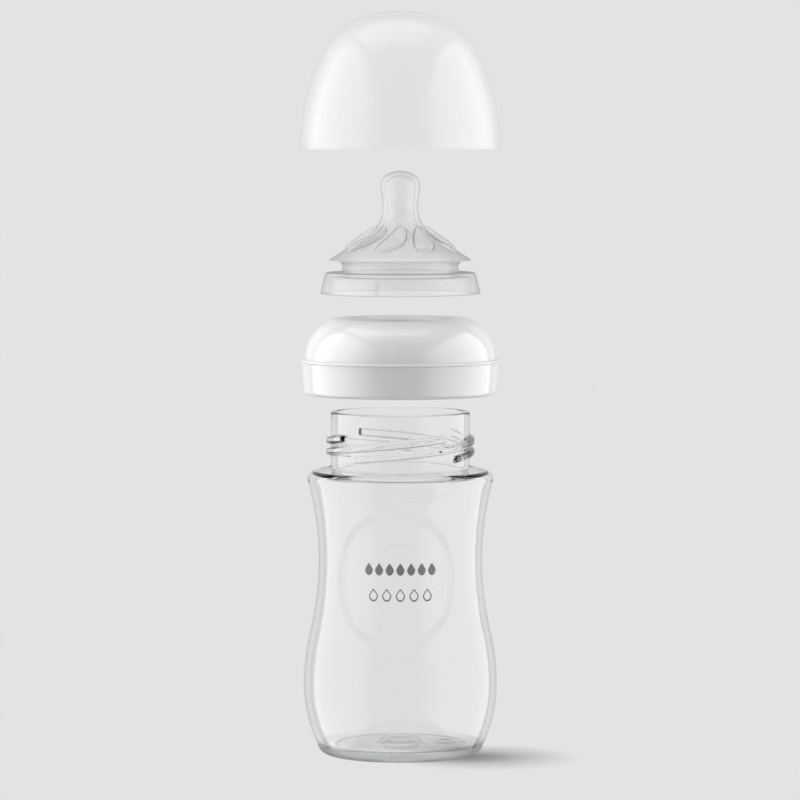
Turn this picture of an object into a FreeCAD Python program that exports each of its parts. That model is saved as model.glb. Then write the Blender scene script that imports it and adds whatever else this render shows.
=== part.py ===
"""A wide-neck baby bottle, laid out one piece above the other along its own axis.

The frame is +Z up, in millimetres. The origin is the centre of the foot that the bottle stands on,
and -Y is the front. Four mouldings make the bottle: the clear bottle with its threaded neck, the
screw ring, the silicone nipple and the dome cap. The screw ring's inner lip, which holds the
nipple, is a node of its own, because the ring turns on its thread while the nipple only rises.

Each piece is drawn upright from its own lowest level. Its Placement lifts it from its seat in the
closed bottle to its place in the layout, and turns the ring by what that lift is worth in thread.
"""
import FreeCAD, Part
import math
import os
import re
import Sketcher

# Driving dimensions in millimetres, except the two thread spans and the slopes, in degrees.
DIMENSIONS = {
    # Bottle: outside of the hourglass body, from the foot up
    "belly_radius": 34.9,
    "belly_height": 25.1,
    "waist_radius": 29.55,
    "waist_height": 70.5,
    "shoulder_height": 98.8,
    "low_curve": 51.4,
    "high_curve": 83.0,
    "collar_curve": 105.0,
    "shoulder_round": 3.2,
    "shoulder_slope": 13.0,
    "heel_round": 4.0,
    "bottle_wall": 2.2,
    # Bottle: floor, with a rim to stand on and a raised centre
    "floor_top": 4.2,
    "floor_underside": 1.0,
    "foot_width": 3.6,
    "inner_heel_round": 2.0,
    "punt_foot": 8.2,
    "punt_crown": 6.0,
    "punt_rise": 2.4,
    # Bottle: neck and its thread
    "neck_radius": 25.1,
    "neck_fillet": 1.0,
    "rim_height": 124.0,
    "rim_round": 0.6,
    "thread_lead": 16.0,
    "thread_starts": 4.0,
    "thread_level": 107.7,
    "thread_azimuth": 48.0,
    "neck_thread_span": 173.0,
    "neck_thread_crest": 26.8,
    "neck_thread_root_width": 2.4,
    "neck_thread_crest_width": 1.6,
    # Screw ring
    "band_radius": 34.9,
    "band_top_radius": 35.6,
    "band_round": 1.8,
    "band_bore": 32.6,
    "ledge_radius": 36.2,
    "ledge_height": 12.6,
    "ledge_thickness": 0.7,
    "dome_foot": 34.4,
    "dome_curve": 16.4,
    "dome_crown": 24.5,
    "ring_height": 27.5,
    "slot_depth": 10.5,
    "socket_radius": 27.3,
    "socket_wall": 1.8,
    "socket_bottom": 1.8,
    "socket_height": 14.9,
    "pocket_radius": 29.4,
    "pocket_bend_height": 16.5,
    "ring_thread_span": 120.0,
    "ring_thread_delay": 30.0,
    "ring_thread_crest": 25.45,
    "ring_thread_root_width": 2.1,
    "ring_thread_crest_width": 1.3,
    # Inner lip of the screw ring
    "lip_underside": 23.0,
    "lip_edge": 2.8,
    "lip_bore": 21.3,
    "lip_radius": 23.6,
    # Nipple
    "skirt_radius": 28.9,
    "skirt_top_radius": 27.3,
    "skirt_bore": 25.5,
    "skirt_round": 1.0,
    "shelf_height": 7.6,
    "flange": 1.5,
    "groove_radius": 20.9,
    "groove_top": 10.6,
    "brim_hollow": 12.3,
    "brim_radius": 25.5,
    "brim_height": 12.2,
    "cone_slope": 32.8,
    "nipple_bore": 19.3,
    "nipple_wall": 1.5,
    "teat_fillet": 12.0,
    "teat_radius": 6.4,
    "teat_height": 31.3,
    "bulb_radius": 7.1,
    "bulb_height": 39.0,
    "bulb_round": 4.4,
    "nipple_height": 44.2,
    "flow_hole": 0.4,
    "vent_width": 1.4,
    "vent_tall": 5.0,
    "vent_depth": 0.7,
    # Dome cap
    "cap_radius": 36.1,
    "cap_wall": 1.5,
    "cap_straight": 0.5,
    "cap_side_curve": 75.0,
    "cap_crown_curve": 27.0,
    "cap_height": 49.4,
    # Fits and layout: each lift is how far a piece stands above its seat
    "gap": 0.05,
    "ring_turns": 1.725,
    "nipple_lift": 21.0,
    "cap_lift": 54.6,
}

ALIAS = re.compile("[a-z_]+")
RIGHT_TURN = "right"
LEFT_TURN = "left"
VENT_AZIMUTH = -107.0    # degrees from +X, a little to the left of the front
THREAD_SEAT = 0.2        # how deep a thread's foot sinks into its wall

doc = FreeCAD.newDocument("baby_bottle")
sheet = doc.addObject("Spreadsheet::Sheet", "dims")


def fill_sheet():
    """Put every driving dimension in a cell of its own, named by its alias."""
    for row, (alias, value) in enumerate(DIMENSIONS.items(), start=1):
        sheet.set(f"A{row}", str(value))
        sheet.setAlias(f"A{row}", alias)
    doc.recompute()


def bound(formula):
    """The formula with every dimension's name pointed at its cell."""
    return ALIAS.sub(lambda word: "dims." + word[0] if word[0] in DIMENSIONS else word[0], formula)


def measure(formula):
    """What a formula of the dimensions comes to now."""
    value = sheet.evalExpression(bound(formula))
    return float(getattr(value, "Value", value))


def origin_plane(body, role):
    """One of a body's own origin planes, found by its role."""
    return next(item for item in body.Origin.OriginFeatures if item.Role == role)


def new_body(name):
    """A body whose label names its node and its file."""
    body = doc.addObject("PartDesign::Body", name)
    body.Label = name
    return body


def arc_between(start, end, radius, turn):
    """The short arc of a radius from start to end, and which of its ends it starts from."""
    chord = end - start
    left = FreeCAD.Vector(-chord.y, chord.x, 0).normalize()
    if turn == RIGHT_TURN:
        left = -left
    rise = math.sqrt(max(radius ** 2 - (chord.Length / 2) ** 2, 0))
    centre = (start + end) / 2 + left * rise
    first, last = (start, end) if turn == LEFT_TURN else (end, start)
    angles = [math.atan2(point.y - centre.y, point.x - centre.x) for point in (first, last)]
    if angles[1] < angles[0]:
        angles[1] += 2 * math.pi
    circle = Part.Circle(centre, FreeCAD.Vector(0, 0, 1), radius)
    return Part.ArcOfCircle(circle, angles[0], angles[1])


def draw_outline(body, name, corners, azimuth="0"):
    """Draw a closed outline in the body's upright plane, turned about Z to an azimuth.

    Each corner is a radius and a height, both formulas. A corner that an arc leads to goes on with
    the arc's radius and the side it turns to.
    """
    sketch = body.newObject("Sketcher::SketchObject", name)
    sketch.AttachmentSupport = [(origin_plane(body, "XZ_Plane"), "")]
    sketch.MapMode = "FlatFace"
    upright = FreeCAD.Rotation(FreeCAD.Vector(0, 1, 0), measure(azimuth))
    sketch.AttachmentOffset = FreeCAD.Placement(FreeCAD.Vector(), upright)
    sketch.setExpression("AttachmentOffset.Rotation.Angle", bound(azimuth))

    points = [FreeCAD.Vector(measure(corner[0]), measure(corner[1]), 0) for corner in corners]
    ends = []
    for index, corner in enumerate(corners):
        start, end = points[index - 1], points[index]
        if len(corner) == 4:
            edge = arc_between(start, end, measure(corner[2]), corner[3])
            ends.append((2, 1) if corner[3] == RIGHT_TURN else (1, 2))
        else:
            edge = Part.LineSegment(start, end)
            ends.append((1, 2))
        sketch.addGeometry(edge, False)
    for index, (first, last) in enumerate(ends):
        after = (index + 1) % len(ends)
        sketch.addConstraint(Sketcher.Constraint("Coincident", index, last, after, ends[after][0]))
    for index, corner in enumerate(corners):
        last = ends[index][1]
        for kind, formula in (("DistanceX", corner[0]), ("DistanceY", corner[1])):
            number = sketch.addConstraint(
                Sketcher.Constraint(kind, -1, 1, index, last, measure(formula)))
            sketch.setExpression(f"Constraints[{number}]", bound(formula))
        if len(corner) == 4:
            number = sketch.addConstraint(Sketcher.Constraint("Radius", index, measure(corner[2])))
            sketch.setExpression(f"Constraints[{number}]", bound(corner[2]))
    doc.recompute()
    return sketch


def revolve(body, name, sketch):
    """Turn an outline once round the body's axis."""
    feature = body.newObject("PartDesign::Revolution", name)
    feature.Profile = sketch
    feature.ReferenceAxis = (sketch, ["V_Axis"])
    feature.Angle = 360
    doc.recompute()
    return feature


def wind_thread(body, name, section, span):
    """Wind one ridge up the axis by a right-handed helix, then repeat it for every start."""
    ridge = body.newObject("PartDesign::AdditiveHelix", name)
    ridge.Profile = section
    ridge.ReferenceAxis = (section, ["V_Axis"])
    ridge.Mode = "pitch-height-angle"
    ridge.setExpression("Pitch", bound("thread_lead"))
    ridge.setExpression("Height", bound(f"thread_lead * {span} / 360"))
    doc.recompute()
    pattern = body.newObject("PartDesign::PolarPattern", name + "_starts")
    pattern.Originals = [ridge]
    pattern.Axis = (section, ["V_Axis"])
    pattern.Angle = 360
    pattern.setExpression("Occurrences", bound("thread_starts"))
    body.Tip = pattern
    doc.recompute()


def backwards(path):
    """The same path walked from its end to its start."""
    steps = []
    for corner, after in zip(reversed(path[:-1]), reversed(path[1:])):
        step = corner[:2]
        if len(after) == 4:
            step += (after[2], RIGHT_TURN if after[3] == LEFT_TURN else LEFT_TURN)
        steps.append(step)
    return [path[-1][:2]] + steps


def corner_on_flat(side_radius, side_level, side_curve, flat_level, rounding, rise):
    """Where a rounding touches a flat, and where it runs into a curved side.

    The side is an arc that stands upright at its own level, and rise is +1 where the flat is above
    that level, -1 where it is below.
    """
    reach = f"(abs({flat_level} - ({side_level})) - ({rounding}))"
    centre = f"({side_radius} - ({side_curve}))"
    out = f"sqrt(pow({side_curve} - ({rounding}); 2) - pow({reach}; 2))"
    share = f"(({side_curve}) / ({side_curve} - ({rounding})))"
    on_flat = (f"{centre} + {out}", flat_level)
    on_side = (f"{centre} + {out} * {share}", f"{side_level} + ({rise}) * {reach} * {share}")
    return on_flat, on_side


def bottle_side(inset):
    """The bottle's side from its belly up to its neck, moved inwards by an inset."""
    turn = "2 * atan((belly_radius - waist_radius) / (waist_height - belly_height))"
    hollow = f"((waist_height - belly_height) / sin({turn}) - high_curve)"
    lean = "asin((shoulder_height - waist_height) / collar_curve)"
    corner = (f"waist_radius - {inset} + (collar_curve + {inset}) * (1 - cos({lean}))",
              f"waist_height + (collar_curve + {inset}) * sin({lean})")
    top = (f"{corner[0]} + (shoulder_round - {inset}) * (sin(shoulder_slope * 1 deg) - cos({lean}))",
           f"{corner[1]} + (shoulder_round - {inset}) * (cos(shoulder_slope * 1 deg) + sin({lean}))")
    foot = f"neck_radius - {inset} + (neck_fillet + {inset}) * (1 - sin(shoulder_slope * 1 deg))"
    foot_level = f"{top[1]} + ({top[0]} - ({foot})) * tan(shoulder_slope * 1 deg)"
    return [
        (f"belly_radius - {inset}", "belly_height"),
        (f"belly_radius - {inset} - (high_curve - {inset}) * (1 - cos({turn}))",
         f"belly_height + (high_curve - {inset}) * sin({turn})",
         f"high_curve - {inset}", LEFT_TURN),
        (f"waist_radius - {inset}", "waist_height", f"{hollow} + {inset}", RIGHT_TURN),
        corner + (f"collar_curve + {inset}", RIGHT_TURN),
        top + (f"shoulder_round - {inset}", LEFT_TURN),
        (foot, foot_level),
        (f"neck_radius - {inset}",
         f"{foot_level} + (neck_fillet + {inset}) * cos(shoulder_slope * 1 deg)",
         f"neck_fillet + {inset}", RIGHT_TURN),
    ]


def make_bottle():
    """Clear bottle: hourglass body, thick floor with a raised centre, wide threaded neck."""
    body = new_body("bottle")
    foot, heel = corner_on_flat("belly_radius", "belly_height", "low_curve", "0", "heel_round", -1)
    floor, inner_heel = corner_on_flat("belly_radius - bottle_wall", "belly_height",
                                       "low_curve - bottle_wall", "floor_top",
                                       "inner_heel_round", -1)
    outside = bottle_side("0")
    inside = backwards(bottle_side("bottle_wall"))
    underside = [
        ("0", "floor_underside + punt_rise"),
        ("punt_crown - 1", "floor_underside + punt_rise"),
        ("punt_foot - 1.5", "floor_underside"),
        (f"{foot[0]} - foot_width", "floor_underside"),
        (f"{foot[0]} - foot_width + 1", "0"),
        foot,
        heel + ("heel_round", LEFT_TURN),
        outside[0] + ("low_curve", LEFT_TURN),
    ]
    rim = [
        ("neck_radius", "rim_height - rim_round"),
        ("neck_radius - rim_round", "rim_height", "rim_round", LEFT_TURN),
        ("neck_radius - bottle_wall + rim_round", "rim_height"),
        ("neck_radius - bottle_wall", "rim_height - rim_round", "rim_round", LEFT_TURN),
    ]
    floor_inside = [
        inner_heel + ("low_curve - bottle_wall", RIGHT_TURN),
        floor + ("inner_heel_round", RIGHT_TURN),
        ("punt_foot", "floor_top"),
        ("punt_crown", "floor_top + punt_rise"),
        ("0", "floor_top + punt_rise"),
    ]
    corners = underside + outside[1:] + rim + inside + floor_inside
    revolve(body, "bottle_shell", draw_outline(body, "bottle_outline", corners))

    ridge = [
        (f"neck_radius - {THREAD_SEAT}", "thread_level - neck_thread_root_width / 2"),
        ("neck_thread_crest", "thread_level - neck_thread_crest_width / 2"),
        ("neck_thread_crest", "thread_level + neck_thread_crest_width / 2"),
        (f"neck_radius - {THREAD_SEAT}", "thread_level + neck_thread_root_width / 2"),
    ]
    section = draw_outline(body, "neck_thread_section", ridge, "thread_azimuth")
    wind_thread(body, "neck_thread", section, "neck_thread_span")
    return body


def ring_seat():
    """Level of the ring's lower edge when the ring is screwed on."""
    return "(rim_height + flange + 2 * gap - lip_underside)"


def make_screw_ring():
    """Screw ring: outer band with a ledge, domed top, and a threaded socket inside the band."""
    body = new_body("screw_ring")
    corners = [
        ("socket_radius", "socket_bottom"),
        ("socket_radius + socket_wall", "socket_bottom"),
        ("socket_radius + socket_wall", "slot_depth"),
        ("band_bore", "slot_depth"),
        ("band_bore", "0"),
        ("band_radius - band_round", "0"),
        ("band_radius", "band_round", "band_round", LEFT_TURN),
        ("band_top_radius", "ledge_height - ledge_thickness - 0.2"),
        ("ledge_radius", "ledge_height - ledge_thickness"),
        ("ledge_radius", "ledge_height"),
        ("dome_foot", "ledge_height"),
        ("dome_crown", "ring_height", "dome_curve", LEFT_TURN),
        ("lip_radius + gap", "ring_height"),
        ("lip_radius + gap", "lip_underside"),
        ("skirt_top_radius - 0.65", "lip_underside"),
        ("skirt_top_radius + 0.45", "lip_underside - 0.9"),
        ("pocket_radius", "pocket_bend_height"),
        ("pocket_radius", "socket_height"),
        ("socket_radius", "socket_height"),
    ]
    revolve(body, "ring_shell", draw_outline(body, "ring_outline", corners))

    level = ("(thread_level - thread_lead / thread_starts / 2"
             f" + thread_lead * ring_thread_delay / 360 - {ring_seat()})")
    ridge = [
        (f"socket_radius + {THREAD_SEAT}", f"{level} - ring_thread_root_width / 2"),
        (f"socket_radius + {THREAD_SEAT}", f"{level} + ring_thread_root_width / 2"),
        ("ring_thread_crest", f"{level} + ring_thread_crest_width / 2"),
        ("ring_thread_crest", f"{level} - ring_thread_crest_width / 2"),
    ]
    section = draw_outline(body, "ring_thread_section", ridge, "thread_azimuth + ring_thread_delay")
    wind_thread(body, "ring_thread", section, "ring_thread_span")

    body.setExpression("Placement.Base.z", bound(f"{ring_seat()} + thread_lead * ring_turns"))
    body.setExpression("Placement.Rotation.Angle", bound("360 * ring_turns"))
    return body


def make_ring_lip():
    """Inner lip of the ring's opening, which sits in the nipple's groove."""
    body = new_body("ring_lip")
    corners = [
        ("lip_bore", "lip_underside"),
        ("lip_radius", "lip_underside"),
        ("lip_radius", "ring_height"),
        ("lip_bore", "lip_underside + lip_edge"),
    ]
    revolve(body, "lip_shell", draw_outline(body, "lip_outline", corners))
    body.setExpression("Placement.Base.z", bound(f"{ring_seat()} + thread_lead * ring_turns"))
    return body


def teat_side(inset):
    """The nipple's cone and teat from the cone's top end to the tip, moved inwards by an inset."""
    slope = "cone_slope * 1 deg"
    bend_radius = "(teat_radius + teat_fillet)"
    bend_level = (f"(brim_height + (brim_radius - {bend_radius} + teat_fillet * sin({slope}))"
                  f" * tan({slope}) + teat_fillet * cos({slope}))")
    swing = "2 * atan((bulb_radius - teat_radius) / (bulb_height - teat_height))"
    half = f"((bulb_height - teat_height) / sin({swing}) / 2)"
    reach = "(nipple_height - bulb_height)"
    inner = "(bulb_radius - bulb_round)"
    tip = (f"((pow({inner}; 2) + pow({reach}; 2) - pow(bulb_round; 2))"
           f" / (2 * ({reach} - bulb_round)))")
    share = f"(({tip} - {inset}) / ({tip} - bulb_round))"
    return [
        (f"{bend_radius} - (teat_fillet + {inset}) * sin({slope})",
         f"{bend_level} - (teat_fillet + {inset}) * cos({slope})"),
        (f"teat_radius - {inset}", bend_level, f"teat_fillet + {inset}", RIGHT_TURN),
        (f"teat_radius - {inset}", "teat_height"),
        (f"teat_radius - {inset} + ({half} + {inset}) * (1 - cos({swing}))",
         f"teat_height + ({half} + {inset}) * sin({swing})", f"{half} + {inset}", RIGHT_TURN),
        (f"bulb_radius - {inset}", "bulb_height", f"{half} - {inset}", LEFT_TURN),
        (f"{inner} * {share}", f"nipple_height - {tip} + ({tip} - {reach}) * {share}",
         f"bulb_round - {inset}", LEFT_TURN),
        ("flow_hole", f"nipple_height - {tip} + sqrt(pow({tip} - {inset}; 2) - pow(flow_hole; 2))",
         f"{tip} - {inset}", LEFT_TURN),
    ]


def make_nipple():
    """Silicone nipple: skirt round the neck, flange on the rim, groove, brim, cone and teat."""
    body = new_body("nipple")
    outside = teat_side("0")
    inside = teat_side("nipple_wall")
    bore_top = (f"{inside[0][1]} - (nipple_bore - ({inside[0][0]})) * tan(cone_slope * 1 deg)")
    base = [
        ("skirt_radius", "0"),
        ("skirt_top_radius", "shelf_height - skirt_round"),
        ("skirt_top_radius - skirt_round", "shelf_height", "skirt_round", LEFT_TURN),
        ("groove_radius", "shelf_height"),
        ("groove_radius", "groove_top"),
        ("groove_radius + brim_hollow - groove_top + 0.2", "brim_hollow"),
        ("brim_radius - 1.3", "brim_hollow"),
        ("brim_radius - 0.2", "brim_height - 0.45"),
        ("brim_radius", "brim_height"),
    ]
    bore = [
        ("nipple_bore", bore_top),
        ("nipple_bore", "shelf_height - flange"),
        ("skirt_bore", "shelf_height - flange"),
        ("skirt_bore", "0"),
    ]
    corners = base + outside + backwards(inside) + bore
    revolve(body, "nipple_shell", draw_outline(body, "nipple_outline", corners))

    vent = body.newObject("PartDesign::SubtractiveBox", "vent_notch")
    vent.AttachmentSupport = [(origin_plane(body, "XY_Plane"), "")]
    vent.MapMode = "FlatFace"
    vent.setExpression("Length", bound("2 * vent_depth"))
    vent.setExpression("Width", bound("vent_width"))
    vent.setExpression("Height", bound("vent_tall"))
    facing = FreeCAD.Rotation(FreeCAD.Vector(0, 0, 1), VENT_AZIMUTH)
    corner = FreeCAD.Vector(measure("skirt_radius - vent_depth - 0.2"), -measure("vent_width / 2"), 0)
    vent.AttachmentOffset = FreeCAD.Placement(facing.multVec(corner), facing)
    doc.recompute()
    body.setExpression("Placement.Base.z", bound(nipple_level()))
    return body


def nipple_level():
    """Level of the nipple's lower edge in the layout."""
    return ("(rim_height + gap - shelf_height + flange + thread_lead * ring_turns"
            " + nipple_lift)")


def dome_side(inset):
    """The cap's side and crown, moved inwards by an inset."""
    crown, side = corner_on_flat(f"cap_radius - {inset}", "cap_straight",
                                 f"cap_side_curve - {inset}", f"cap_height - {inset}",
                                 f"cap_crown_curve - {inset}", 1)
    return [
        (f"cap_radius - {inset}", "0"),
        (f"cap_radius - {inset}", "cap_straight"),
        side + (f"cap_side_curve - {inset}", LEFT_TURN),
        crown + (f"cap_crown_curve - {inset}", LEFT_TURN),
        ("0", f"cap_height - {inset}"),
    ]


def make_dome_cap():
    """Dome cap, a thin shell that slips over the ring's dome and stands on its ledge."""
    body = new_body("dome_cap")
    corners = dome_side("0") + backwards(dome_side("cap_wall"))
    revolve(body, "cap_shell", draw_outline(body, "cap_outline", corners))
    seat = f"(ledge_height + {ring_seat()} + gap + thread_lead * ring_turns + nipple_lift)"
    body.setExpression("Placement.Base.z", bound(f"{seat} + cap_lift"))
    return body


def check(pieces):
    """Stop on anything that failed, before a file is written."""
    for item in doc.Objects:
        if "Invalid" in item.State or "Error" in item.State:
            raise RuntimeError(f"{item.Name} failed: {item.State}")
        if item.TypeId == "Sketcher::SketchObject" and not item.FullyConstrained:
            raise RuntimeError(f"{item.Name} is not fully constrained")
    for piece in pieces:
        shape = piece.Shape
        if shape.isNull() or not shape.isValid() or len(shape.Solids) != 1:
            raise RuntimeError(f"{piece.Label} is not one valid solid")


def export(pieces):
    """Write each piece to a file of its own, named by its label."""
    os.makedirs("parts", exist_ok=True)
    for piece in pieces:
        piece.Shape.exportStep(f"parts/{piece.Label}.step")
        level = piece.Placement.Base.z
        print(f"{piece.Label}: lower level {level:.3f} mm, volume {piece.Shape.Volume:.1f} mm3")


fill_sheet()
PIECES = [make_bottle(), make_screw_ring(), make_ring_lip(), make_nipple(), make_dome_cap()]
doc.recompute()
check(PIECES)
export(PIECES)
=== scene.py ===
"""Looks of the exploded baby bottle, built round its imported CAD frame.

Profiles are in millimetres from each piece's own lowest level; azimuths are in degrees from +X,
anticlockwise seen from above, and -Y is the front.
"""
import math

import bmesh
import bpy
import numpy as np
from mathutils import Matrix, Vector


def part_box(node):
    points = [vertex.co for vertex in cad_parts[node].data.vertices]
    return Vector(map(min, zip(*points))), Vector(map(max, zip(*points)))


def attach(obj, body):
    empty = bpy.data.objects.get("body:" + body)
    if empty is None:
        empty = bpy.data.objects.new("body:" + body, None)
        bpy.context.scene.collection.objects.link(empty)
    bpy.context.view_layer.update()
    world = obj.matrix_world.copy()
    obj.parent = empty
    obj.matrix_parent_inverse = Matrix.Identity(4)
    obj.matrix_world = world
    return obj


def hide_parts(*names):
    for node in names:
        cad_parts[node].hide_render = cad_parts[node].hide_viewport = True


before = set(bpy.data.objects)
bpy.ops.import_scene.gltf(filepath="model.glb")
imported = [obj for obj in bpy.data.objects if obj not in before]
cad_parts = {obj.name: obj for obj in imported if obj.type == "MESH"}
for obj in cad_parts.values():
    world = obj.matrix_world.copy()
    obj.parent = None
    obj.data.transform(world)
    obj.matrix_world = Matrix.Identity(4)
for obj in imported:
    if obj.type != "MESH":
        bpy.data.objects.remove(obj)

MM = 0.001
LEFT, RIGHT = 1, -1
SEGMENTS = 320
MAX_SWING = 0.12  # radians of an arc between two points of a profile
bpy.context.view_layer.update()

# Dimensions shared by several pieces, as the CAD model has them
THREAD_LEAD = 16.0
THREAD_STARTS = 4
THREAD_LEVEL = 107.7
THREAD_AZIMUTH = 48.0
THREAD_TAPER = 2.6
RING_TURNS = 1.725
RING_SEAT = 102.6


# ---------------------------------------------------------------- profiles

def spot(r, z, soften=0.0, arc=None, turn=LEFT):
    """A corner of a profile; arc and turn give the radius and side of the arc that leads to it."""
    return {"at": np.array([r, z], float), "soften": soften, "arc": arc, "turn": turn}


def edge_points(start, end, step):
    """Points from one corner to the next, along a straight line or an arc.

    A straight line needs only a third of the points of an arc.
    """
    a, b = start["at"], end["at"]
    chord = b - a
    length = np.hypot(*chord)
    if end["arc"] is None:
        count = max(int(math.ceil(length / (3 * step))), 1)
        return a + np.linspace(0, 1, count + 1)[:, None] * chord
    radius = end["arc"]
    left = np.array([-chord[1], chord[0]]) / length * end["turn"]
    centre = (a + b) / 2 + left * math.sqrt(max(radius ** 2 - length ** 2 / 4, 0))
    first = math.atan2(*(a - centre)[::-1])
    swing = 2 * math.asin(min(length / 2 / radius, 1)) * end["turn"]
    count = max(int(math.ceil(abs(swing) * radius / step)), int(math.ceil(abs(swing) / MAX_SWING)), 2)
    angles = first + np.linspace(0, swing, count + 1)
    return centre + radius * np.stack([np.cos(angles), np.sin(angles)], axis=1)


def cut_back(points, start_cut, end_cut):
    """The same path without its first and last stretch of the given lengths."""
    steps = np.hypot(*np.diff(points, axis=0).T)
    along = np.concatenate([[0], np.cumsum(steps)])
    total = along[-1]
    low = min(start_cut, total * 0.48)
    high = total - min(end_cut, total * 0.48)
    inner = (along > low + 1e-6) & (along < high - 1e-6)
    stops = np.concatenate([[low], along[inner], [high]])
    return np.stack([np.interp(stops, along, points[:, k]) for k in (0, 1)], axis=1)


def profile(corners, step=0.6):
    """A closed outline through the corners, each softened by its own length."""
    edges = [edge_points(corners[i - 1], corners[i], step) for i in range(len(corners))]
    edges = [cut_back(edge, corners[i - 1]["soften"], corners[i]["soften"])
             for i, edge in enumerate(edges)]
    path = []
    for i, edge in enumerate(edges):
        path.extend(edge[:-1] if corners[i]["soften"] == 0 else edge)
        if corners[i]["soften"] > 0:
            before, at, after = edge[-1], corners[i]["at"], edges[(i + 1) % len(edges)][0]
            for t in (0.2, 0.4, 0.6, 0.8):
                path.append((1 - t) ** 2 * before + 2 * t * (1 - t) * at + t * t * after)
    return np.array(path)


def backwards(path):
    """The same corners walked from the last to the first."""
    steps = []
    for i in range(len(path) - 1, -1, -1):
        corner = dict(path[i])
        after = path[i + 1] if i + 1 < len(path) else None
        corner["arc"] = after["arc"] if after else None
        corner["turn"] = -after["turn"] if after else LEFT
        steps.append(corner)
    return steps


def finer(path, low, high, step, outside):
    """The same closed outline with more points where it is between two levels, on one side."""
    result = []
    for i, point in enumerate(path):
        after = path[(i + 1) % len(path)]
        result.append(point)
        inside = min(point[1], after[1]) < high and max(point[1], after[1]) > low
        if inside and outside(point) and outside(after):
            count = int(math.ceil(np.hypot(*(after - point)) / step))
            result.extend(point + (after - point) * k / count for k in range(1, count))
    return np.array(result)


def lathe(name, path, level, shape=None):
    """Turn a closed outline round the axis; shape may move the points of the (row, azimuth) grid."""
    azimuth = np.arange(SEGMENTS) * 2 * math.pi / SEGMENTS
    r = np.repeat(path[:, 0:1], SEGMENTS, axis=1)
    z = np.repeat(path[:, 1:2], SEGMENTS, axis=1)
    turn = np.repeat(azimuth[None, :], len(path), axis=0)
    if shape is not None:
        ahead = np.roll(path, -1, axis=0) - np.roll(path, 1, axis=0)
        ahead /= np.maximum(np.hypot(*ahead.T), 1e-9)[:, None]
        r, z = shape(r, z, turn, ahead[:, 1:2], -ahead[:, 0:1])
    vertices, index = [], np.zeros((len(path), SEGMENTS), int)
    for i, point in enumerate(path):
        if point[0] < 1e-6:
            index[i, :] = len(vertices)
            vertices.append((0.0, 0.0, point[1] * MM + level))
        else:
            index[i, :] = np.arange(len(vertices), len(vertices) + SEGMENTS)
            vertices.extend(zip(r[i] * np.cos(azimuth) * MM, r[i] * np.sin(azimuth) * MM,
                                z[i] * MM + level))
    faces = []
    for i in range(len(path)):
        j = (i + 1) % len(path)
        flat = (path[i, 0] < 1e-6, path[j, 0] < 1e-6)
        if all(flat):
            continue
        for k in range(SEGMENTS):
            m = (k + 1) % SEGMENTS
            if flat[0]:
                faces.append((index[i, 0], index[j, m], index[j, k]))
            elif flat[1]:
                faces.append((index[i, k], index[i, m], index[j, 0]))
            else:
                faces.append((index[i, k], index[i, m], index[j, m], index[j, k]))
    return make_mesh(name, vertices, faces)


def make_mesh(name, vertices, faces):
    """A smooth-shaded mesh object with its normals outwards."""
    mesh = bpy.data.meshes.new(name)
    mesh.from_pydata(vertices, [], faces)
    work = bmesh.new()
    work.from_mesh(mesh)
    bmesh.ops.recalc_face_normals(work, faces=work.faces)
    work.to_mesh(mesh)
    work.free()
    mesh.polygons.foreach_set("use_smooth", [True] * len(mesh.polygons))
    obj = bpy.data.objects.new(name, mesh)
    bpy.context.scene.collection.objects.link(obj)
    return obj


def smooth_step(x):
    """0 below 0, 1 above 1, and an even S-curve in between."""
    x = np.clip(x, 0, 1)
    return x * x * (3 - 2 * x)


def thread_height(azimuth, z, radius, start, level, span, half_width):
    """0 to 1: how high a many-start ridge with tapered ends stands at each point of a wall."""
    rise = THREAD_LEAD / (2 * math.pi * radius)
    length = math.radians(span) * radius
    height = np.zeros_like(z)
    for k in range(THREAD_STARTS):
        first = math.radians(start + 360 / THREAD_STARTS * k)
        along = np.mod(azimuth - first, 2 * math.pi) * radius
        across = (z - level - rise * along) / math.hypot(1, rise) / half_width
        ends = smooth_step(along / THREAD_TAPER) * smooth_step((length - along) / THREAD_TAPER)
        height = np.maximum(height, ends * np.sqrt(np.clip(1 - across ** 4, 0, 1)))
    return height


# ---------------------------------------------------------------- bottle

BOTTLE_WALL = 2.2
BELLY = (34.9, 25.1)
WAIST = (29.55, 70.5)
SHOULDER_HEIGHT = 98.8
LOW_CURVE, HIGH_CURVE, COLLAR_CURVE = 51.4, 83.0, 105.0
SHOULDER_ROUND = 3.2
SHOULDER_SLOPE = math.radians(13.0)
NECK_RADIUS, NECK_FILLET, RIM_HEIGHT = 25.1, 1.0, 124.0
NECK_THREAD_CREST, NECK_THREAD_SPAN, NECK_THREAD_HALF = 26.8, 173.0, 1.3
NECK_FOOT = 104.0
HEEL_ROUND, INNER_HEEL_ROUND, FOOT_WIDTH = 4.0, 2.0, 3.6
FLOOR_TOP, FLOOR_UNDERSIDE, PUNT_RISE = 4.2, 1.0, 2.4
PUNT_FOOT, PUNT_CROWN = 8.2, 6.0
MEDAL_LEVEL, MEDAL_AZIMUTH = 66.0, math.radians(-90 - 3.8)
MEDAL_RADIUS, MEDAL_SLOPE, MEDAL_DEPTH = 24.6, 3.0, 1.0
MEDAL_WALL, MEDAL_BAND = 30.4, 25.0
MARK_PLACE, MARK_RADIUS, MARK_WIDTH, MARK_RISE = 16.4, 3.9, 0.5, 0.3


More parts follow.
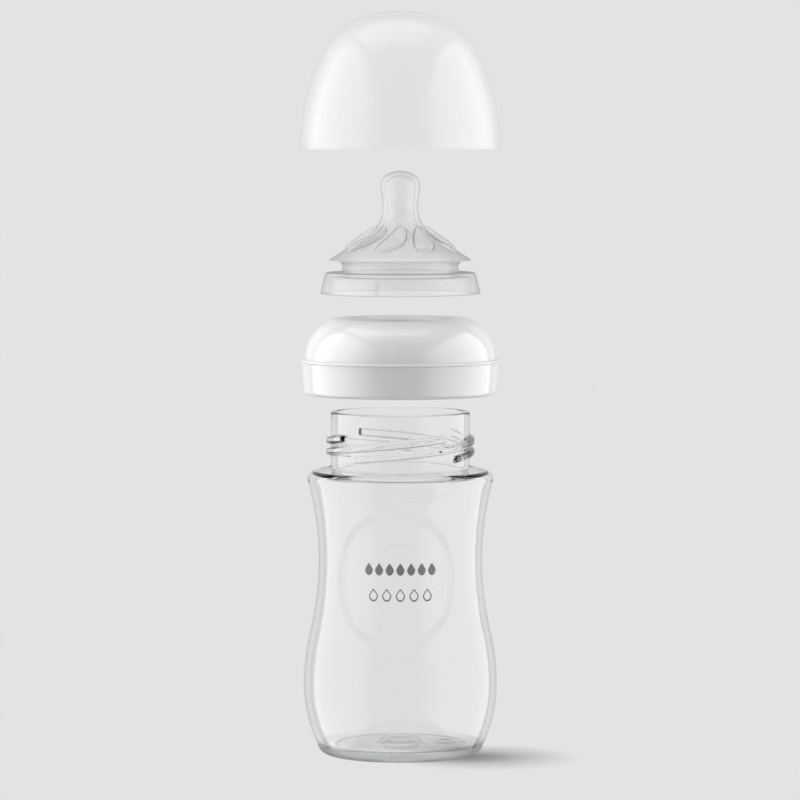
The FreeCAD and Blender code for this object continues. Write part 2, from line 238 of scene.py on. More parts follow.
def bottle_side(inset):
    """Corners of the side from the belly up to the neck, moved inwards by an inset."""
    turn = 2 * math.atan((BELLY[0] - WAIST[0]) / (WAIST[1] - BELLY[1]))
    hollow = (WAIST[1] - BELLY[1]) / math.sin(turn) - HIGH_CURVE
    lean = math.asin((SHOULDER_HEIGHT - WAIST[1]) / COLLAR_CURVE)
    high = HIGH_CURVE - inset
    collar = COLLAR_CURVE + inset
    rounding = SHOULDER_ROUND - inset
    corner = (WAIST[0] - inset + collar * (1 - math.cos(lean)), WAIST[1] + collar * math.sin(lean))
    top = (corner[0] + rounding * (math.sin(SHOULDER_SLOPE) - math.cos(lean)),
           corner[1] + rounding * (math.cos(SHOULDER_SLOPE) + math.sin(lean)))
    fillet = NECK_FILLET + inset
    foot = NECK_RADIUS - inset + fillet * (1 - math.sin(SHOULDER_SLOPE))
    foot_level = top[1] + (top[0] - foot) * math.tan(SHOULDER_SLOPE)
    return [
        spot(BELLY[0] - inset, BELLY[1]),
        spot(BELLY[0] - inset - high * (1 - math.cos(turn)), BELLY[1] + high * math.sin(turn),
             arc=high, turn=LEFT),
        spot(WAIST[0] - inset, WAIST[1], arc=hollow + inset, turn=RIGHT),
        spot(*corner, arc=collar, turn=RIGHT),
        spot(*top, arc=rounding, turn=LEFT),
        spot(foot, foot_level),
        spot(NECK_RADIUS - inset, foot_level + fillet * math.cos(SHOULDER_SLOPE),
             arc=fillet, turn=RIGHT),
    ]


def corner_on_flat(side, curve, flat, rounding, rise):
    """Where a rounding touches a flat, and where it runs into a curved side."""
    reach = abs(flat - side[1]) - rounding
    centre = side[0] - curve
    out = math.sqrt((curve - rounding) ** 2 - reach ** 2)
    share = curve / (curve - rounding)
    return (centre + out, flat), (centre + out * share, side[1] + rise * reach * share)


def medal(azimuth, z, radius):
    """How deep the front's shallow round dish is at each point of the outside wall."""
    front = np.mod(azimuth - MEDAL_AZIMUTH + math.pi, 2 * math.pi) - math.pi
    reach = np.hypot(front * radius, z - MEDAL_LEVEL)
    return MEDAL_DEPTH * smooth_step((MEDAL_RADIUS - reach) / MEDAL_SLOPE)


def shape_bottle(r, z, azimuth, out, up):
    """Press the dish into the outside wall, raise the neck's thread and the floor's small mark."""
    outside = out > 0
    front = outside & (np.abs(z - MEDAL_LEVEL) < MEDAL_BAND)
    r = np.where(front, r - medal(azimuth, z, MEDAL_WALL), r)
    neck = outside & (z > NECK_FOOT) & (z < RIM_HEIGHT - 0.8)
    ridge = thread_height(azimuth, z, NECK_RADIUS, THREAD_AZIMUTH, THREAD_LEVEL,
                          NECK_THREAD_SPAN, NECK_THREAD_HALF)
    floor = (up > 0.9) & (np.abs(z - FLOOR_TOP) < 0.05)
    reach = np.hypot(r * np.cos(azimuth) - MARK_PLACE, r * np.sin(azimuth))
    mark = MARK_RISE * np.exp(-((reach - MARK_RADIUS) / MARK_WIDTH) ** 2)
    r = np.where(neck, r + (NECK_THREAD_CREST - NECK_RADIUS) * ridge, r)
    return r, np.where(floor, z + mark, z)


def side_radius(z):
    """Radius of the bottle's outside at a level between its belly and its neck."""
    corners = bottle_side(0.0)
    path = np.concatenate([edge_points(start, end, 0.3) for start, end in
                           zip(corners[:-1], corners[1:])])
    return np.interp(z, path[:, 1], path[:, 0])


def build_bottle():
    """The clear bottle: outside from the foot up, over the rim, and down the inside to the floor."""
    foot, heel = corner_on_flat(BELLY, LOW_CURVE, 0.0, HEEL_ROUND, -1)
    inner_belly = (BELLY[0] - BOTTLE_WALL, BELLY[1])
    floor, inner_heel = corner_on_flat(inner_belly, LOW_CURVE - BOTTLE_WALL, FLOOR_TOP,
                                       INNER_HEEL_ROUND, -1)
    outside = bottle_side(0.0)
    outside[0].update(arc=LOW_CURVE, turn=LEFT)
    inside = backwards(bottle_side(BOTTLE_WALL))
    corners = [
        spot(0, FLOOR_UNDERSIDE + PUNT_RISE),
        spot(PUNT_CROWN - 1, FLOOR_UNDERSIDE + PUNT_RISE, 0.8),
        spot(PUNT_FOOT - 1.5, FLOOR_UNDERSIDE, 0.8),
        spot(foot[0] - FOOT_WIDTH, FLOOR_UNDERSIDE, 0.6),
        spot(foot[0] - FOOT_WIDTH + 1, 0, 0.8),
        spot(*foot),
        spot(*heel, arc=HEEL_ROUND, turn=LEFT),
        *outside,
        spot(NECK_RADIUS, RIM_HEIGHT, 0.7),
        spot(NECK_RADIUS - BOTTLE_WALL, RIM_HEIGHT, 0.7),
        *inside,
        spot(*inner_heel, arc=LOW_CURVE - BOTTLE_WALL, turn=RIGHT),
        spot(*floor, arc=INNER_HEEL_ROUND, turn=RIGHT),
        spot(PUNT_FOOT, FLOOR_TOP, 0.7),
        spot(PUNT_CROWN, FLOOR_TOP + PUNT_RISE, 0.9),
        spot(0, FLOOR_TOP + PUNT_RISE),
    ]
    path = profile(corners, 1.2)
    path = finer(path, NECK_FOOT + 1, RIM_HEIGHT - 3, 0.25, lambda p: p[0] > NECK_RADIUS - 0.3)
    path = finer(path, MEDAL_LEVEL - MEDAL_BAND, MEDAL_LEVEL + MEDAL_BAND, 0.8,
                 lambda p: p[0] > 29.0)
    path = finer(path, FLOOR_TOP - 0.02, FLOOR_TOP + 0.02, 0.5, lambda p: 10 < p[0] < 22)
    return lathe("bottle_body", path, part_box("bottle")[0].z, shape_bottle)


PRINT_PROUD, PRINT_SUNK = 0.04, 0.05
BOLD_PITCH, BOLD_LEVEL, BOLD_WIDTH, BOLD_HEIGHT = 3.85, 3.5, 3.0, 4.3
HOLLOW_PITCH, HOLLOW_LEVEL, HOLLOW_WIDTH, HOLLOW_HEIGHT = 4.9, -5.7, 3.4, 4.5
HOLLOW_SHARE, PINHOLE_SHARE = 0.74, 0.02


def on_front(u, v):
    """A point of the dish's floor, u mm to the right of its middle and v mm above it."""
    level = MEDAL_LEVEL + v
    radius = float(side_radius(level)) - MEDAL_DEPTH
    return radius, -math.pi / 2 + u / radius, level


def stamp(vertices, faces, centre, outline, hollow=0.0, around=40, rings=4):
    """Add one flat mark to the print: a closed slab between its outline and its scaled hollow."""
    base = len(vertices)
    shares = np.linspace(hollow, 1, rings + 1)
    for lift in (PRINT_PROUD, -PRINT_SUNK):
        for share in shares:
            for k in range(around):
                x, y = outline(2 * math.pi * k / around)
                radius, azimuth, level = on_front(centre[0] + x * share, centre[1] + y * share)
                vertices.append(((radius + lift) * math.cos(azimuth) * MM,
                                 (radius + lift) * math.sin(azimuth) * MM, level * MM))
    count = (rings + 1) * around
    for k in range(around):
        m = (k + 1) % around
        for ring in range(rings):
            a, b = base + ring * around, base + (ring + 1) * around
            faces.append((a + k, b + k, b + m, a + m))
            faces.append((a + k + count, a + m + count, b + m + count, b + k + count))
        for ring in (0, rings):
            a = base + ring * around
            faces.append((a + k, a + m, a + m + count, a + k + count))


def drop(width, height):
    """Outline of a drop, round below and pointed above."""
    def at(angle):
        x, y = math.sin(angle), -math.cos(angle)
        pinch = 1 - 0.55 * smooth_step((y + 0.2) / 1.2)
        return width / 2 * x * pinch, height / 2 * y
    return at


def build_print():
    """A generic mark: a row of bold drops over a row of hollow ones."""
    vertices, faces = [], []
    for k in range(-3, 4):
        stamp(vertices, faces, (k * BOLD_PITCH, BOLD_LEVEL), drop(BOLD_WIDTH, BOLD_HEIGHT),
              PINHOLE_SHARE)
    for k in range(-2, 3):
        stamp(vertices, faces, (k * HOLLOW_PITCH, HOLLOW_LEVEL), drop(HOLLOW_WIDTH, HOLLOW_HEIGHT),
              HOLLOW_SHARE, rings=1)
    return make_mesh("front_print", vertices, faces)


# ---------------------------------------------------------------- screw ring

BAND_RADIUS, BAND_TOP_RADIUS, BAND_ROUND, BAND_BORE = 34.9, 35.6, 1.8, 32.6
LEDGE_RADIUS, LEDGE_HEIGHT, LEDGE_THICKNESS = 36.2, 12.6, 0.7
DOME_FOOT, DOME_CURVE, DOME_CROWN, RING_HEIGHT = 34.4, 16.4, 24.5, 27.5
SOCKET_RADIUS, SOCKET_WALL, SOCKET_BOTTOM, SOCKET_HEIGHT = 27.3, 1.8, 1.8, 14.9
SLOT_DEPTH, POCKET_RADIUS, POCKET_BEND_HEIGHT = 10.5, 29.4, 16.5
POCKET_ROOF_RADIUS, POCKET_ROOF_BEVEL = 27.75, 1.1
LIP_UNDERSIDE, LIP_EDGE, LIP_BORE, LIP_RADIUS = 23.0, 2.8, 21.3, 23.6
RING_THREAD_SPAN, RING_THREAD_DELAY = 120.0, 30
RING_THREAD_RISE, RING_THREAD_HALF = 1.85, 0.7  # narrow enough to clear the neck's ridges


def shape_ring(r, z, azimuth, out, up):
    """Raise the thread on the socket's inside wall."""
    level = (THREAD_LEVEL - THREAD_LEAD / THREAD_STARTS / 2
             + THREAD_LEAD * RING_THREAD_DELAY / 360 - RING_SEAT)
    start = THREAD_AZIMUTH + RING_THREAD_DELAY + 360 * RING_TURNS
    ridge = thread_height(azimuth, z, SOCKET_RADIUS, start, level, RING_THREAD_SPAN,
                          RING_THREAD_HALF)
    wall = ((np.abs(r - SOCKET_RADIUS) < 0.05)
            & (z > SOCKET_BOTTOM + 0.1) & (z < SOCKET_HEIGHT - 0.1))
    return np.where(wall, r - RING_THREAD_RISE * ridge, r), z


def build_ring():
    """The screw ring with its inner lip: socket, band, ledge, dome, lip and the nipple's pocket."""
    corners = [
        spot(SOCKET_RADIUS, SOCKET_BOTTOM, 0.35),
        spot(SOCKET_RADIUS + SOCKET_WALL, SOCKET_BOTTOM, 0.35),
        spot(SOCKET_RADIUS + SOCKET_WALL, SLOT_DEPTH, 0.6),
        spot(BAND_BORE, SLOT_DEPTH, 0.6),
        spot(BAND_BORE, 0, 0.35),
        spot(BAND_RADIUS - BAND_ROUND, 0),
        spot(BAND_RADIUS, BAND_ROUND, arc=BAND_ROUND),
        spot(BAND_TOP_RADIUS, LEDGE_HEIGHT - LEDGE_THICKNESS - 0.2, 0.15),
        spot(LEDGE_RADIUS, LEDGE_HEIGHT - LEDGE_THICKNESS, 0.2),
        spot(LEDGE_RADIUS, LEDGE_HEIGHT, 0.3),
        spot(DOME_FOOT, LEDGE_HEIGHT, 0.3),
        spot(DOME_CROWN, RING_HEIGHT, 0.9, arc=DOME_CURVE),
        spot(LIP_RADIUS, RING_HEIGHT, 0.7),
        spot(LIP_BORE, LIP_UNDERSIDE + LIP_EDGE, 0.6),
        spot(LIP_BORE, LIP_UNDERSIDE, 0.5),
        spot(POCKET_ROOF_RADIUS - POCKET_ROOF_BEVEL, LIP_UNDERSIDE, 0.3),
        spot(POCKET_ROOF_RADIUS, LIP_UNDERSIDE - 0.9, 0.5),
        spot(POCKET_RADIUS, POCKET_BEND_HEIGHT, 0.5),
        spot(POCKET_RADIUS, SOCKET_HEIGHT, 0.3),
        spot(SOCKET_RADIUS, SOCKET_HEIGHT, 0.3),
    ]
    path = profile(corners, 0.6)
    path = finer(path, SOCKET_BOTTOM + 0.1, SOCKET_HEIGHT - 0.1, 0.2,
                 lambda p: abs(p[0] - SOCKET_RADIUS) < 0.01)
    return lathe("screw_ring_shell", path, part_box("screw_ring")[0].z, shape_ring)


# ---------------------------------------------------------------- nipple

SKIRT_RADIUS, SKIRT_TOP_RADIUS, SKIRT_BORE, SKIRT_ROUND = 28.9, 27.3, 25.5, 1.0
SHELF_HEIGHT, FLANGE, GROOVE_RADIUS, GROOVE_TOP = 7.6, 1.5, 20.9, 10.6
BRIM_HEIGHT, BRIM_RADIUS, CONE_SLOPE = 12.2, 25.5, math.radians(32.8)
BRIM_HOLLOW, BRIM_TIP = 12.3, 11.87
TEAT_RADIUS, TEAT_FILLET, TEAT_HEIGHT = 6.4, 12.0, 31.3
BULB_RADIUS, BULB_HEIGHT, BULB_ROUND, NIPPLE_HEIGHT = 7.1, 39.0, 4.4, 44.2
NIPPLE_WALL, NIPPLE_BORE, FLOW_HOLE = 1.5, 19.3, 0.4


def teat_side(inset):
    """Corners of the cone's top end and the teat, moved inwards by an inset."""
    bend_radius = TEAT_RADIUS + TEAT_FILLET
    bend_level = (BRIM_HEIGHT
                  + (BRIM_RADIUS - bend_radius + TEAT_FILLET * math.sin(CONE_SLOPE))
                  * math.tan(CONE_SLOPE) + TEAT_FILLET * math.cos(CONE_SLOPE))
    swing = 2 * math.atan((BULB_RADIUS - TEAT_RADIUS) / (BULB_HEIGHT - TEAT_HEIGHT))
    half = (BULB_HEIGHT - TEAT_HEIGHT) / math.sin(swing) / 2
    reach = NIPPLE_HEIGHT - BULB_HEIGHT
    inner = BULB_RADIUS - BULB_ROUND
    tip = (inner ** 2 + reach ** 2 - BULB_ROUND ** 2) / (2 * (reach - BULB_ROUND))
    share = (tip - inset) / (tip - BULB_ROUND)
    return [
        spot(bend_radius - (TEAT_FILLET + inset) * math.sin(CONE_SLOPE),
             bend_level - (TEAT_FILLET + inset) * math.cos(CONE_SLOPE)),
        spot(TEAT_RADIUS - inset, bend_level, arc=TEAT_FILLET + inset, turn=RIGHT),
        spot(TEAT_RADIUS - inset, TEAT_HEIGHT),
        spot(TEAT_RADIUS - inset + (half + inset) * (1 - math.cos(swing)),
             TEAT_HEIGHT + (half + inset) * math.sin(swing), arc=half + inset, turn=RIGHT),
        spot(BULB_RADIUS - inset, BULB_HEIGHT, arc=half - inset, turn=LEFT),
        spot(inner * share, NIPPLE_HEIGHT - tip + (tip - reach) * share,
             arc=BULB_ROUND - inset, turn=LEFT),
        spot(FLOW_HOLE, NIPPLE_HEIGHT - tip + math.sqrt((tip - inset) ** 2 - FLOW_HOLE ** 2),
             arc=tip - inset, turn=LEFT),
    ]


PETALS, PETAL_AZIMUTH, PETAL_TWIST = 8, math.radians(-90 - 12), math.radians(26)
PETAL_LOW, PETAL_HIGH, PETAL_WIDEST, PETAL_HALF = 15.0, 25.2, 0.32, 4.0
PETAL_RISE, PETAL_GROOVE, GROOVE_ASIDE, GROOVE_WIDTH = 1.5, 0.65, 0.25, 0.27
VENT_AZIMUTH, VENT_TALL, VENT_HALF, VENT_DEPTH = math.radians(-107), 5.0, 0.7, 0.7


def shape_nipple(r, z, azimuth, out, up):
    """Raise the twisted petals on the cone, and cut the vent notch in the skirt."""
    share = np.clip((z - PETAL_LOW) / (PETAL_HIGH - PETAL_LOW), 0, 1)
    low = np.sqrt(np.clip(1 - (share / PETAL_WIDEST - 1) ** 2, 0, 1))
    high = np.clip(1 - ((share - PETAL_WIDEST) / (1 - PETAL_WIDEST)) ** 1.6, 0, 1)
    half = PETAL_HALF * np.where(share < PETAL_WIDEST, low, high) + 1e-3
    middle = PETAL_AZIMUTH + PETAL_TWIST * (share - PETAL_WIDEST)
    step = 2 * math.pi / PETALS
    aside = (np.mod(azimuth - middle + step / 2, step) - step / 2) * r
    reach = np.abs(aside) / half
    ends = smooth_step(share / 0.1) * smooth_step((1 - share) / 0.3)
    rise = PETAL_RISE * np.sqrt(np.clip(1 - reach ** 2, 0, 1))
    beyond = (np.abs(aside) - half - GROOVE_ASIDE) / GROOVE_WIDTH
    groove = PETAL_GROOVE * smooth_step(share / 0.5) * np.exp(-beyond ** 2)
    lift = np.where(out + up > 0, ends * (rise - groove), 0)
    r, z = r + lift * out, z + lift * up
    beside = (np.mod(azimuth - VENT_AZIMUTH + math.pi, 2 * math.pi) - math.pi) * r
    notch = smooth_step((VENT_HALF + 0.2 - np.abs(beside)) / 0.4) * smooth_step((VENT_TALL - z) / 0.4)
    return np.where((out > 0.5) & (z < VENT_TALL), r - VENT_DEPTH * notch, r), z


def build_nipple():
    """The silicone nipple: skirt, flange, groove, brim, cone and teat, and its inside."""
    outside = teat_side(0.0)
    inside = teat_side(NIPPLE_WALL)
    low = inside[0]["at"]
    bore_top = low[1] - (NIPPLE_BORE - low[0]) * math.tan(CONE_SLOPE)
    corners = [
        spot(SKIRT_RADIUS, 0, 0.35),
        spot(SKIRT_TOP_RADIUS, SHELF_HEIGHT - SKIRT_ROUND),
        spot(SKIRT_TOP_RADIUS - SKIRT_ROUND, SHELF_HEIGHT, arc=SKIRT_ROUND),
        spot(GROOVE_RADIUS, SHELF_HEIGHT, 0.9),
        spot(GROOVE_RADIUS, GROOVE_TOP, 0.8),
        spot(GROOVE_RADIUS + 1.9, BRIM_HOLLOW, 0.6),
        spot(BRIM_RADIUS - 1.3, BRIM_HOLLOW, 0.3),
        spot(BRIM_RADIUS - 0.2, BRIM_TIP, 0.3),
        spot(BRIM_RADIUS, BRIM_HEIGHT, 0.3),
        *outside,
        *backwards(inside),
        spot(NIPPLE_BORE, bore_top, 0.8),
        spot(NIPPLE_BORE, SHELF_HEIGHT - FLANGE, 0.6),
        spot(SKIRT_BORE, SHELF_HEIGHT - FLANGE, 0.7),
        spot(SKIRT_BORE, 0, 0.4),
    ]

    def above_lining(p):
        """Whether a point is on the cone's outside."""
        return p[1] > low[1] + (low[0] - p[0]) * math.tan(CONE_SLOPE) + NIPPLE_WALL / 2

    path = profile(corners, 0.7)
    path = finer(path, PETAL_LOW - 0.5, PETAL_HIGH + 0.6, 0.25, above_lining)
    path = finer(path, 0, VENT_TALL + 0.5, 0.4, lambda p: p[0] > SKIRT_TOP_RADIUS - 0.3)
    return lathe("nipple_teat", path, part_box("nipple")[0].z, shape_nipple)


# ---------------------------------------------------------------- dome cap

CAP_RADIUS, CAP_WALL, CAP_STRAIGHT, CAP_HEIGHT = 36.1, 1.5, 0.5, 49.4
CAP_SIDE_CURVE, CAP_CROWN_CURVE = 75.0, 27.0


def dome_side(inset):
    """Corners of the dome from its rim to its top, moved inwards by an inset."""
    crown, side = corner_on_flat((CAP_RADIUS - inset, CAP_STRAIGHT), CAP_SIDE_CURVE - inset,
                                 CAP_HEIGHT - inset, CAP_CROWN_CURVE - inset, 1)
    return [
        spot(CAP_RADIUS - inset, 0, 0.4),
        spot(CAP_RADIUS - inset, CAP_STRAIGHT),
        spot(*side, arc=CAP_SIDE_CURVE - inset),
        spot(*crown, arc=CAP_CROWN_CURVE - inset),
        spot(0, CAP_HEIGHT - inset),
    ]


def build_cap():
    """The dome cap, a shell of even thickness."""
    corners = dome_side(0.0) + backwards(dome_side(CAP_WALL))
    return lathe("dome_cap_shell", profile(corners, 0.9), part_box("dome_cap")[0].z)


# ---------------------------------------------------------------- materials

def new_material(name, **values):
    """A material of one Principled shader with these constant inputs."""
    material = bpy.data.materials.new(name)
    material.use_nodes = True
    shader = material.node_tree.nodes["Principled BSDF"]
    for key, value in values.items():
        shader.inputs[key.replace("_", " ")].default_value = value
    return material, shader


def texture(material, scale, detail, roughness=0.5):
    """Noise in the object's own coordinates."""
    nodes, links = material.node_tree.nodes, material.node_tree.links
    place = nodes.new("ShaderNodeTexCoord")
    noise = nodes.new("ShaderNodeTexNoise")
    noise.inputs["Scale"].default_value = scale
    noise.inputs["Detail"].default_value = detail
    noise.inputs["Roughness"].default_value = roughness
    links.new(place.outputs["Object"], noise.inputs["Vector"])
    return noise


def spread(material, source, low, high, start=0.3, end=0.7):
    """Map the values of a socket from start and end to low and high."""
    node = material.node_tree.nodes.new("ShaderNodeMapRange")
    node.inputs["From Min"].default_value = start
    node.inputs["From Max"].default_value = end
    node.inputs["To Min"].default_value = low
    node.inputs["To Max"].default_value = high
    material.node_tree.links.new(source, node.inputs["Value"])
    return node.outputs["Result"]


def roughen(material, shader, scale, low, high):
    """Vary the roughness a little from place to place."""
    noise = texture(material, scale, 4)
    material.node_tree.links.new(spread(material, noise.outputs["Fac"], low, high),
                                 shader.inputs["Roughness"])


def ripple(material, shader, scale, strength, distance):
    """The slight unevenness that a moulded surface has."""
    noise = texture(material, scale, 3)
    bump = material.node_tree.nodes.new("ShaderNodeBump")
    bump.inputs["Strength"].default_value = strength
    bump.inputs["Distance"].default_value = distance
    material.node_tree.links.new(noise.outputs["Fac"], bump.inputs["Height"])
    material.node_tree.links.new(bump.outputs["Normal"], shader.inputs["Normal"])


def absorb(material, colour, density):
    """Clear plastic's own grey, which grows with the way the light goes through it."""
    nodes, links = material.node_tree.nodes, material.node_tree.links
    volume = nodes.new("ShaderNodeVolumeAbsorption")
    volume.inputs["Color"].default_value = (*colour, 1)
    volume.inputs["Density"].default_value = density
    links.new(volume.outputs["Volume"], nodes["Material Output"].inputs["Volume"])


FROST_FADE = (0.0032, 0.0041)  # metres above the foot: frosted below, smooth above


def clear_plastic():
    """The bottle's plastic, smooth except for its frosted underside."""
    material, shader = new_material("clear_plastic", Base_Color=(0.985, 0.987, 0.99, 1),
                                    Transmission_Weight=1.0, IOR=1.4)
    smooth = texture(material, scale=60, detail=4)
    nodes, links = material.node_tree.nodes, material.node_tree.links
    place = nodes.new("ShaderNodeTexCoord")
    split = nodes.new("ShaderNodeSeparateXYZ")
    links.new(place.outputs["Object"], split.inputs[0])
    frost = nodes.new("ShaderNodeMath")
    frost.operation = "ADD"
    links.new(spread(material, smooth.outputs["Fac"], 0.015, 0.05), frost.inputs[0])
    links.new(spread(material, split.outputs["Z"], 0.35, 0.0, *FROST_FADE), frost.inputs[1])
    links.new(frost.outputs["Value"], shader.inputs["Roughness"])
    ripple(material, shader, scale=45, strength=0.12, distance=0.0002)
    absorb(material, colour=(0.55, 0.57, 0.6), density=7)
    return material


def white_plastic():
    """The ring's high-gloss white."""
    material, shader = new_material("white_plastic", Base_Color=(0.68, 0.68, 0.69, 1), IOR=1.5)
    roughen(material, shader, scale=90, low=0.1, high=0.17)
    ripple(material, shader, scale=140, strength=0.06, distance=0.0002)
    return material


def see_through(name, ior, cover, tint, edge):
    """Thin-walled plastic: light passes it straight, least where its wall is seen edge on.

    cover is how much of the light it stops facing and edge on; tint its brightness there; the
    tint changes from where edge says. Creases are painted darker by the mesh's pointiness, as
    painted shade.
    """
    material, shader = new_material(name, IOR=ior)
    nodes, links = material.node_tree.nodes, material.node_tree.links
    facing = nodes.new("ShaderNodeLayerWeight")
    facing.inputs["Blend"].default_value = 0.35
    links.new(spread(material, facing.outputs["Facing"], *cover, 0.15, 0.95), shader.inputs["Alpha"])
    mix = nodes.new("ShaderNodeMix")
    mix.data_type = "RGBA"
    mix.inputs["A"].default_value = (tint[0], tint[0], tint[0] + 0.005, 1)
    mix.inputs["B"].default_value = (tint[1], tint[1], tint[1] + 0.005, 1)
    links.new(spread(material, facing.outputs["Facing"], 0, 1, edge, 1.0), mix.inputs["Factor"])
    # Painted shade: the colour is multiplied darker in concave creases, read from the mesh's
    # pointiness.
    painted_crease_shade = nodes.new("ShaderNodeMix")
    painted_crease_shade.data_type = "RGBA"
    painted_crease_shade.blend_type = "MULTIPLY"
    painted_crease_shade.inputs["Factor"].default_value = 1.0
    shape = nodes.new("ShaderNodeNewGeometry")
    links.new(mix.outputs["Result"], painted_crease_shade.inputs["A"])
    links.new(spread(material, shape.outputs["Pointiness"], 0.25, 1.0, 0.44, 0.495),
              painted_crease_shade.inputs["B"])
    links.new(painted_crease_shade.outputs["Result"], shader.inputs["Base Color"])
    return material, shader


def silicone():
    """The nipple's soft satin."""
    material, shader = see_through("silicone", ior=1.41, cover=(0.22, 0.94), tint=(0.88, 0.14),
                                   edge=0.1)
    shader.inputs["Specular IOR Level"].default_value = 0.2
    roughen(material, shader, scale=120, low=0.28, high=0.4)
    ripple(material, shader, scale=90, strength=0.02, distance=0.0002)
    return material


def cap_plastic():
    """The cap's milky plastic; its ior is set for the strength of its reflections."""
    material, shader = see_through("cap_plastic", ior=2.05, cover=(0.07, 0.18), tint=(0.92, 0.1),
                                   edge=0.5)
    roughen(material, shader, scale=70, low=0.05, high=0.1)
    ripple(material, shader, scale=60, strength=0.04, distance=0.0002)
    return material


def print_ink():
    """The print's dark grey."""
    material, shader = new_material("print_ink", Base_Color=(0.2, 0.2, 0.205, 1), IOR=1.45)
    roughen(material, shader, scale=400, low=0.45, high=0.6)
    ripple(material, shader, scale=900, strength=0.1, distance=0.00003)
    return material


# ---------------------------------------------------------------- stage

# The stage is in metres.
PALE, ROOF = 0.768, 0.25
FLOOR_ALBEDO, FLOOR_HALF = 0.5, 4.0
SHADOW_PLACE, SHADOW_FADE = (0.031, -0.013, 0.0), (0.006, 0.034)
DIM_ROOM = 0.12
WALL_POINTS, WALL_RADIUS, WALL_LOW, WALL_HIGH, ROOF_TIP = 64, 3.8, -2.0, 2.5, 4.5
LENS, SENSOR = 212.5, 36.0
CAMERA_TARGET = Vector((-0.00014, 0.0, 0.1281))
CAMERA_PLACE = (CAMERA_TARGET.x, -1.7, 0.24)


def studio():
    """A dim room with a pale floor and surround, and five softboxes."""
    scene = bpy.context.scene
    scene.view_settings.view_transform = "Standard"
    world = bpy.data.worlds.new("studio")
    scene.world = world
    world.use_nodes = True
    world.node_tree.nodes["Background"].inputs["Color"].default_value = (*[DIM_ROOM] * 3, 1)

    half = FLOOR_HALF
    floor = make_mesh("floor", [(-half, -half, 0), (half, -half, 0), (half, half, 0),
                                (-half, half, 0)], [(0, 1, 2, 3)])
    floor.data.materials.append(floor_paint())
    floor.visible_glossy = False
    floor.visible_diffuse = False
    floor.visible_shadow = False
    pale_surround()

    # The left panel is strong and even, and fades out towards the camera's side.
    panel("left", where=(-1.3, -0.7, 0.3), turned=(90, 0, -90), width=3.2, height=3.0,
          strength=2.6, fade=(0.0, 0.56, 0.05, 0.05))
    panel("right", where=(1.5, -1.1, 0.3), turned=(90, 0, 90), width=4.8, height=3.0,
          strength=2.2, fade=(0.46, 0.0, 0.05, 0.05))
    panel("behind", where=(0.0, 3.0, 0.3), turned=(90, 0, 0), width=6.0, height=5.0,
          strength=0.65, fade=(0.1, 0.1, 0.1, 0.1))
    panel("below", where=(0.1, 0.0, -1.25), turned=(0, 0, 0), width=2.7, height=3.0,
          strength=0.3, fade=(0.1, 0.1, 0.1, 0.1))
    panel("above", where=(-0.12, 0.1, 1.5), turned=(0, 0, 0), width=1.8, height=1.6,
          strength=2.9, fade=(0.1, 0.3, 0.3, 0.1))


def hidden_from(obj, camera=True, clear=True, diffuse=True, glossy=True):
    """Which rays see a stage object: straight ones, those through clear pieces, and reflections."""
    obj.visible_camera = camera
    obj.visible_transmission = clear
    obj.visible_diffuse = diffuse
    obj.visible_glossy = glossy
    obj.visible_shadow = False


def glow(name, strength):
    """An even glowing material, and the input that sets its strength."""
    material = bpy.data.materials.new(name)
    material.use_nodes = True
    nodes = material.node_tree.nodes
    nodes.remove(nodes["Principled BSDF"])
    emission = nodes.new("ShaderNodeEmission")
    emission.inputs["Strength"].default_value = strength
    material.node_tree.links.new(emission.outputs["Emission"],
                                 nodes["Material Output"].inputs["Surface"])
    return material, emission


def pale_surround():
    """The pale paper that stands round the object on every side, under a greyer roof."""
    around = WALL_POINTS
    ring = [(WALL_RADIUS * math.cos(2 * math.pi * k / around),
             WALL_RADIUS * math.sin(2 * math.pi * k / around)) for k in range(around)]
    low = [(x, y, WALL_LOW) for x, y in ring]
    high = [(x, y, WALL_HIGH) for x, y in ring]
    wall = [(k, (k + 1) % around, around + (k + 1) % around, around + k) for k in range(around)]
    roof = [(k, (k + 1) % around, around) for k in range(around)]
    for name, vertices, faces, shade in (("pale_surround", low + high, wall, PALE),
                                         ("grey_roof", high + [(0, 0, ROOF_TIP)], roof, ROOF)):
        paper = make_mesh(name, vertices, faces)
        material, emission = glow(name, 1.0)
        emission.inputs["Color"].default_value = (*[shade] * 3, 1)
        material.cycles.emission_sampling = "NONE"
        paper.data.materials.append(material)
        hidden_from(paper, diffuse=False, glossy=False)


def floor_paint():
    """Matt pale paint that takes the object's shadow, and glows evenly away from the object."""
    material, shader = new_material("floor", Base_Color=(*[FLOOR_ALBEDO] * 3, 1), Roughness=1.0,
                                    Specular_IOR_Level=0.0)
    nodes, links = material.node_tree.nodes, material.node_tree.links
    place = nodes.new("ShaderNodeTexCoord")
    reach = nodes.new("ShaderNodeVectorMath")
    reach.operation = "DISTANCE"
    reach.inputs[1].default_value = SHADOW_PLACE
    links.new(place.outputs["Object"], reach.inputs[0])
    share = spread(material, reach.outputs["Value"], 0, 1, *SHADOW_FADE)
    pale = nodes.new("ShaderNodeEmission")
    pale.inputs["Color"].default_value = (*[PALE] * 3, 1)
    mix = nodes.new("ShaderNodeMixShader")
    links.new(share, mix.inputs["Fac"])
    links.new(shader.outputs["BSDF"], mix.inputs[1])
    links.new(pale.outputs["Emission"], mix.inputs[2])
    links.new(mix.outputs["Shader"], nodes["Material Output"].inputs["Surface"])
    material.cycles.emission_sampling = "NONE"
    return material


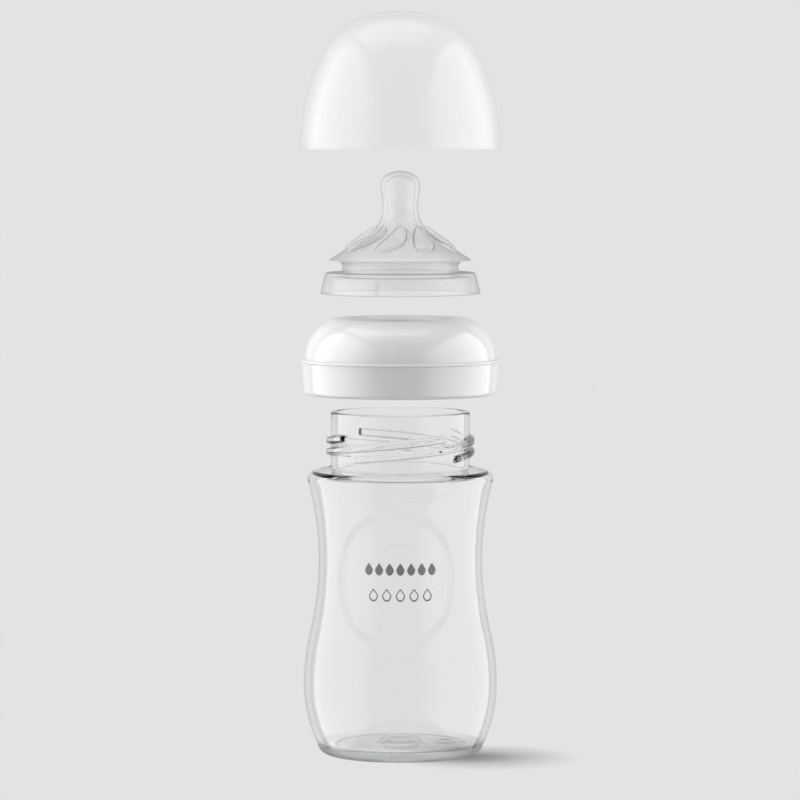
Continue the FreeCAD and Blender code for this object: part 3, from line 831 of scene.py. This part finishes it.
def panel(name, where, turned, width, height, strength, fade):
    """A softbox that only reflections and matt surfaces see; each edge fades over its own share.

    The fades are those at the low and high ends of its width, then of its height.
    """
    x, y = width / 2, height / 2
    box = make_mesh(name + "_panel", [(-x, -y, 0), (x, -y, 0), (x, y, 0), (-x, y, 0)],
                    [(0, 1, 2, 3)])
    box.location = where
    box.rotation_euler = [math.radians(angle) for angle in turned]
    material, emission = glow(name + "_panel", strength)
    if strength < 1:
        material.cycles.emission_sampling = "NONE"
    nodes, links = material.node_tree.nodes, material.node_tree.links
    place = nodes.new("ShaderNodeTexCoord")
    split = nodes.new("ShaderNodeSeparateXYZ")
    links.new(place.outputs["Generated"], split.inputs[0])
    level = None
    for axis, low, high in (("X", fade[0], fade[1]), ("Y", fade[2], fade[3])):
        for share, ends in ((low, (0.0, low)), (high, (1.0, 1.0 - high))):
            if share == 0:
                continue
            ramp = spread(material, split.outputs[axis], 0, 1, *ends)
            if level is None:
                level = ramp
                continue
            times = nodes.new("ShaderNodeMath")
            times.operation = "MULTIPLY"
            links.new(level, times.inputs[0])
            links.new(ramp, times.inputs[1])
            level = times.outputs["Value"]
    scale = nodes.new("ShaderNodeMath")
    scale.operation = "MULTIPLY"
    scale.inputs[1].default_value = strength
    links.new(level, scale.inputs[0])
    links.new(scale.outputs["Value"], emission.inputs["Strength"])
    box.data.materials.append(material)
    hidden_from(box, camera=False, clear=False)


def camera():
    """A long lens from the front and a little above."""
    data = bpy.data.cameras.new("camera")
    data.lens, data.sensor_width = LENS, SENSOR
    data.clip_start, data.clip_end = 0.1, 50.0
    cam = bpy.data.objects.new("camera", data)
    bpy.context.scene.collection.objects.link(cam)
    bpy.context.scene.camera = cam
    cam.location = CAMERA_PLACE
    cam.rotation_euler = (CAMERA_TARGET - cam.location).to_track_quat("-Z", "Y").to_euler()


def dress(obj, body, material, slot, *nodes):
    """Give a piece its material, its body and the CAD nodes it stands for."""
    obj.data.materials.append(material)
    if nodes:
        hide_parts(*nodes)
    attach(obj, body)


dress(build_bottle(), "bottle", clear_plastic(), "clear_plastic", "bottle")
dress(build_print(), "bottle", print_ink(), "clear_plastic")
dress(build_ring(), "screw_ring", white_plastic(), "white_plastic", "screw_ring", "ring_lip")
dress(build_nipple(), "nipple", silicone(), "silicone", "nipple")
dress(build_cap(), "dome_cap", cap_plastic(), "cap_plastic", "dome_cap")
studio()
camera()
